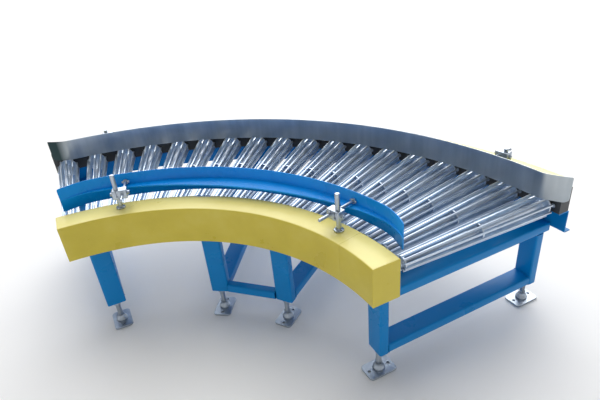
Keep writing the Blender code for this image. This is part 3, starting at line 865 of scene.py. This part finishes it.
def clamp_mesh(reach, side):
    """A cross clamp. The post is at the origin, X points to the band, and the rod passes
    at Y = ROD_OFFSET times side."""
    depth, length, height = BLOCK
    shift = side * ROD_OFFSET / 2
    half = height / 2
    body = mesh_from("clamp_block", block(
        (-depth / 2, shift - length / 2 + BLOCK_TRIM, -half),
        (depth / 2, shift + length / 2 - BLOCK_TRIM, half), 0.0022, 3))
    bore = POST_RADIUS + 0.0004
    body = cut(body, mesh_from("bore", turned([(bore, -height), (bore, height)], 36)))
    slit = block((-depth, -0.0009, -height), (-bore / 2, 0.0009, height), 0.0002, 1)
    body = cut(body, mesh_from("slit", slit))
    rod = about_x([
        (-ROD_TAIL, 0.0040), (-ROD_TAIL + 0.0020, 0.0060), (reach - 0.0080, 0.0060),
        (reach - 0.0080, 0.0100), (reach - 0.0070, 0.0112), (reach - 0.0010, 0.0112),
        (reach, 0.0104),
    ], 28)
    shells = [moved(solid(rod), (0.0, side * ROD_OFFSET, 0.0))]
    for end in (-1, 1):
        face = shift + end * (length / 2 - BLOCK_TRIM)
        turn = Matrix.Rotation(-end * math.pi / 2, 4, "X")
        head = moved(bolt(0.0125, 0.0075, 0.0110), matrix=turn)
        shells.append(moved(head, (0.0, face - end * 0.0001, 0.0)))
    for y, level in ((0.0, -0.0095), (side * ROD_OFFSET, 0.0105)):
        screw = moved(hexagon(0.0088, 0.0044, 0.0006), matrix=Matrix.Rotation(-math.pi / 2, 4, "Y"))
        shells.append(moved(screw, (-depth / 2 + 0.0002, y + side * 0.0004, level)))
    cross = block((reach - 0.0075, side * ROD_OFFSET - 0.0150, -0.0050),
                  (reach - 0.0030, side * ROD_OFFSET + 0.0150, 0.0050), 0.0010, 2)
    shells.append(cross)
    extra = merged(shells)
    extra.from_mesh(body)
    bpy.data.meshes.remove(body)
    return mesh_from("cross_clamp", extra)


def make_supports():
    for label, side in (("right", -1), ("left", 1)):
        for where, (radius, spread), slot_body in (
            ("inner", INNER_POST, "inner_guide"),
            ("outer", OUTER_POST, "outer_guide"),
        ):
            angle = 90.0 + side * spread
            post = f"{where}_post_{label}"
            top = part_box(post)[1].z
            piece("upright_" + post, post_body(top), PLATED, "frame", [post],
                  curve_frame(angle) @ Matrix.Translation((radius, 0.0, 0.0)))
            node = f"{where}_clamp_{label}"
            low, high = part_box(node)
            rod_height = (low.z + high.z) / 2
            if where == "inner":
                face = INNER_BAND - (ROD_OFFSET + 0.012) ** 2 / (2 * INNER_BAND)
                facing, turn = 0.0, -side
            else:
                face = OUTER_BAND + BAND_SHEET
                facing, turn = math.pi, side
            mesh = clamp_mesh(abs(face - radius) - 0.001, turn)
            matrix = (curve_frame(angle) @ Matrix.Translation((radius, 0.0, rod_height))
                      @ Matrix.Rotation(facing, 4, "Z"))
            piece("cross_" + node, mesh, PLATED, slot_body, [node], matrix)


# ---------------------------------------------------------------- stands

def stand_frames():
    return [
        ("a", curve_frame(START) @ Matrix.Translation((0.0, STAND_SHIFT, 0.0))),
        ("b", curve_frame(90.0 - STAND_ANGLE)),
        ("c", curve_frame(90.0 + STAND_ANGLE)),
        ("d", curve_frame(END) @ Matrix.Translation((0.0, -STAND_SHIFT, 0.0))),
    ]


def upright_tube(low, high, bottom, top, capped):
    """A solid upright with rolled corners, dished at its foot and, if capped, at its head."""
    half = TUBE_WIDTH / 2
    outline = rounded(rectangle(low, high, -half, half), TUBE_CORNER, 5)
    inner = rounded(
        rectangle(low + TUBE_WALL, high - TUBE_WALL, TUBE_WALL - half, half - TUBE_WALL),
        TUBE_BORE_CORNER, 5,
    )
    levels = [(inner, bottom + 0.0012), (outline, bottom), (outline, top), (inner, top)]
    if capped:
        levels.append((inner, top - 0.0015))
    return solid([[(x, y, z) for x, y in ring] for ring, z in levels])


def level_tube(start, end, low):
    """A level tube along X, open-ended with a real wall."""
    half = TUBE_WIDTH / 2
    high = low + TUBE_DEPTH
    outer = rounded(rectangle(-half, half, low, high), TUBE_CORNER, 5)
    inner = rounded(
        rectangle(TUBE_WALL - half, half - TUBE_WALL, low + TUBE_WALL, high - TUBE_WALL),
        TUBE_BORE_CORNER, 5,
    )
    rings = [
        [(start, y, z) for y, z in outer], [(end, y, z) for y, z in outer],
        [(end, y, z) for y, z in inner], [(start, y, z) for y, z in inner],
    ]
    return loop_solid(rings)


def round_weld(x, low, high):
    """A bead round a beam's end where it meets a leg."""
    half = TUBE_WIDTH / 2
    outline = rounded(rectangle(-half, half, low, high), TUBE_CORNER, 4)
    path = []
    for first, last in zip(outline, outline[1:]):
        path += line((x, *first), (x, *last), 0.005)[:-1]
    return bead(path, 0.0022)


def foot_mesh():
    """A levelling foot: a pressed pad with two fixing holes, a swivel boss and its screw."""
    length, width = PAD_HALF
    outline = rounded(rectangle(-length, length, -width, width), 0.016, 6)
    inner = rounded(rectangle(-0.0588, 0.0588, -0.0388, 0.0388), 0.0150, 6)
    pad = mesh_from("pad", solid([
        [(x, y, 0.0) for x, y in inner], [(x, y, 0.0012) for x, y in outline],
        [(x, y, 0.0066) for x, y in outline], [(x, y, 0.0080) for x, y in inner],
    ]))
    holes = merged([
        moved(turned([(0.0065, -0.01), (0.0065, 0.02)], 24), (x, 0.0, 0.0))
        for x in (-0.043, 0.043)
    ])
    pad = cut(pad, mesh_from("holes", holes))
    profile = [
        (0.0235, 0.0070), (0.0240, 0.0080), (0.0240, 0.0160), (0.0225, 0.0190), (0.0180, 0.0260),
        (0.0150, 0.0330), (0.0150, 0.0372), (0.0140, 0.0380), (0.0112, 0.0380), (0.0102, 0.0392),
    ]
    height = 0.0400
    while height < 0.2020:
        profile += [(0.0110, height), (0.0099, height + 0.0012)]
        height += THREAD_PITCH
    profile.append((0.0085, 0.2045))
    body = turned(profile, 28)
    nut = moved(hexagon(0.0240, 0.0090, 0.0010), (0.0, 0.0, 0.0400))
    whole = merged([body, nut])
    whole.from_mesh(pad)
    return mesh_from("levelling_foot", whole)


def make_stands():
    beam_low = STAND_TOP - TUBE_DEPTH
    under = beam_low - GAP
    start = INNER_LEG + TUBE_DEPTH + GAP
    inner_leg = mesh_from("inner_leg", upright_tube(
        INNER_LEG, INNER_LEG + TUBE_DEPTH, LEG_LOW, STAND_TOP, True))
    outer_leg = mesh_from("outer_leg", upright_tube(
        OUTER_LEG, OUTER_LEG + TUBE_DEPTH, LEG_LOW, under, False))
    top_beam = mesh_from("top_beam", level_tube(start, BEAM_END, beam_low))
    low_beam = mesh_from("low_beam", level_tube(start, OUTER_LEG - GAP, LEG_LOW))
    welds = mesh_from("welds", merged([
        round_weld(start, beam_low, STAND_TOP), round_weld(start, LEG_LOW, LEG_LOW + TUBE_DEPTH),
        round_weld(OUTER_LEG - GAP, LEG_LOW, LEG_LOW + TUBE_DEPTH),
    ]))
    foot = foot_mesh()
    nuts = []
    for letter, axes in stand_frames():
        for label, mesh in (("inner_leg", inner_leg), ("outer_leg", outer_leg),
                            ("top_beam", top_beam), ("bottom_beam", low_beam)):
            node = f"stand_{letter}_{label}"
            piece("tube_" + node, mesh, BLUE, "frame", [node], axes)
        piece(f"welds_stand_{letter}", welds, BLUE, "frame", (), axes)
        for side, low in (("inner", INNER_LEG), ("outer", OUTER_LEG)):
            node = f"foot_{letter}_{side}"
            spot = axes @ Matrix.Translation((low + TUBE_DEPTH / 2, 0.0, 0.0))
            piece("levelling_" + node, foot, PLATED, node, [node], spot)
            nut = hexagon(0.0280, 0.0130, 0.0012, 0.0125)
            nuts.append(moved(nut, matrix=spot @ Matrix.Translation((0.0, 0.0, LEG_LOW - 0.0133))))
    piece("leg_nuts", merged(nuts), PLATED, "frame")

    turn = math.radians(STAND_ANGLE)
    half = TUBE_WIDTH / 2 + GAP
    middle = (INNER_LEG + TUBE_DEPTH / 2) * math.cos(turn)
    outer = rounded(rectangle(middle - TUBE_DEPTH / 2, middle + TUBE_DEPTH / 2, LEG_LOW,
                              LEG_LOW + TUBE_DEPTH), TUBE_CORNER, 5)
    inner = rounded(
        rectangle(middle - TUBE_DEPTH / 2 + TUBE_WALL, middle + TUBE_DEPTH / 2 - TUBE_WALL,
                  LEG_LOW + TUBE_WALL, LEG_LOW + TUBE_DEPTH - TUBE_WALL),
        TUBE_BORE_CORNER, 5,
    )
    rings = []
    for outline, side in ((outer, -1), (outer, 1), (inner, 1), (inner, -1)):
        rings.append([(side * (y * math.sin(turn) - half) / math.cos(turn), CENTRE.y + y, z)
                      for y, z in outline])
    piece("tube_tie_beam", loop_solid(rings), BLUE, "frame", ["tie_beam"])


# ---------------------------------------------------------------- stage

def make_stage():
    body = bmesh.new()
    bmesh.ops.create_grid(body, x_segments=8, y_segments=8, size=90.0)
    mesh = mesh_from("floor", body)
    mesh.materials.append(FLOOR)
    floor = bpy.data.objects.new("floor", mesh)
    bpy.context.scene.collection.objects.link(floor)
    floor.location.z = -0.0005


def area_light(name, place, target, size, power):
    data = bpy.data.lights.new(name, "AREA")
    data.shape = "RECTANGLE"
    data.size, data.size_y = size
    data.energy = power
    lamp = bpy.data.objects.new(name, data)
    bpy.context.scene.collection.objects.link(lamp)
    away = Vector(place) - Vector(target)
    lamp.visible_camera = False
    facing = away.to_track_quat("Z", "Y").to_matrix().to_4x4()
    lamp.matrix_world = Matrix.Translation(place) @ facing


def make_light():
    world = bpy.data.worlds.new("studio")
    world.use_nodes = True
    back = world.node_tree.nodes["Background"]
    back.inputs["Strength"].default_value = 1.0
    nodes, links = world.node_tree.nodes, world.node_tree.links
    place = nodes.new("ShaderNodeTexCoord")
    parts = nodes.new("ShaderNodeSeparateXYZ")
    links.new(place.outputs["Generated"], parts.inputs["Vector"])
    sky = ramp(nodes, links, parts.outputs["Z"], [(0.10, grey(0.92)), (0.24, grey(0.33))])
    links.new(sky, back.inputs["Color"])
    bpy.context.scene.world = world
    bpy.context.scene.view_settings.view_transform = "Standard"
    data = bpy.data.lights.new("key", "SUN")
    data.energy = 2.15
    data.angle = math.radians(62.0)
    key = bpy.data.objects.new("key", data)
    bpy.context.scene.collection.objects.link(key)
    key.matrix_world = Vector((-0.25, 0.75, 1.6)).to_track_quat("Z", "Y").to_matrix().to_4x4()
    area_light("rear", (-3.0, 16.0, 8.0), (0.0, 0.0, 0.4), (26.0, 6.0), 2100.0)
    area_light("front", (1.2, -4.6, 2.8), (0.0, 0.0, 0.3), (3.0, 2.0), 8.0)


def make_camera():
    """The photograph's viewpoint."""
    azimuth, elevation, roll = math.radians(20.885), math.radians(29.336), math.radians(-5.606)
    back = Vector((
        math.sin(azimuth) * math.cos(elevation),
        -math.cos(azimuth) * math.cos(elevation),
        math.sin(elevation),
    ))
    right = Vector((0.0, 0.0, 1.0)).cross(back).normalized()
    up = back.cross(right)
    across = math.cos(roll) * right + math.sin(roll) * up
    above = math.cos(roll) * up - math.sin(roll) * right
    data = bpy.data.cameras.new("camera")
    data.lens = 28.99
    data.sensor_width = 36.0
    data.clip_end = 400.0
    camera = bpy.data.objects.new("camera", data)
    bpy.context.scene.collection.objects.link(camera)
    turn = Matrix((across, above, back)).transposed().to_4x4()
    camera.matrix_world = Matrix.Translation((0.8289, -1.7425, 1.5009)) @ turn
    bpy.context.scene.camera = camera


make_guards()
make_rails()
make_rollers()
make_bands()
make_supports()
make_stands()
make_stage()
make_light()
make_camera()
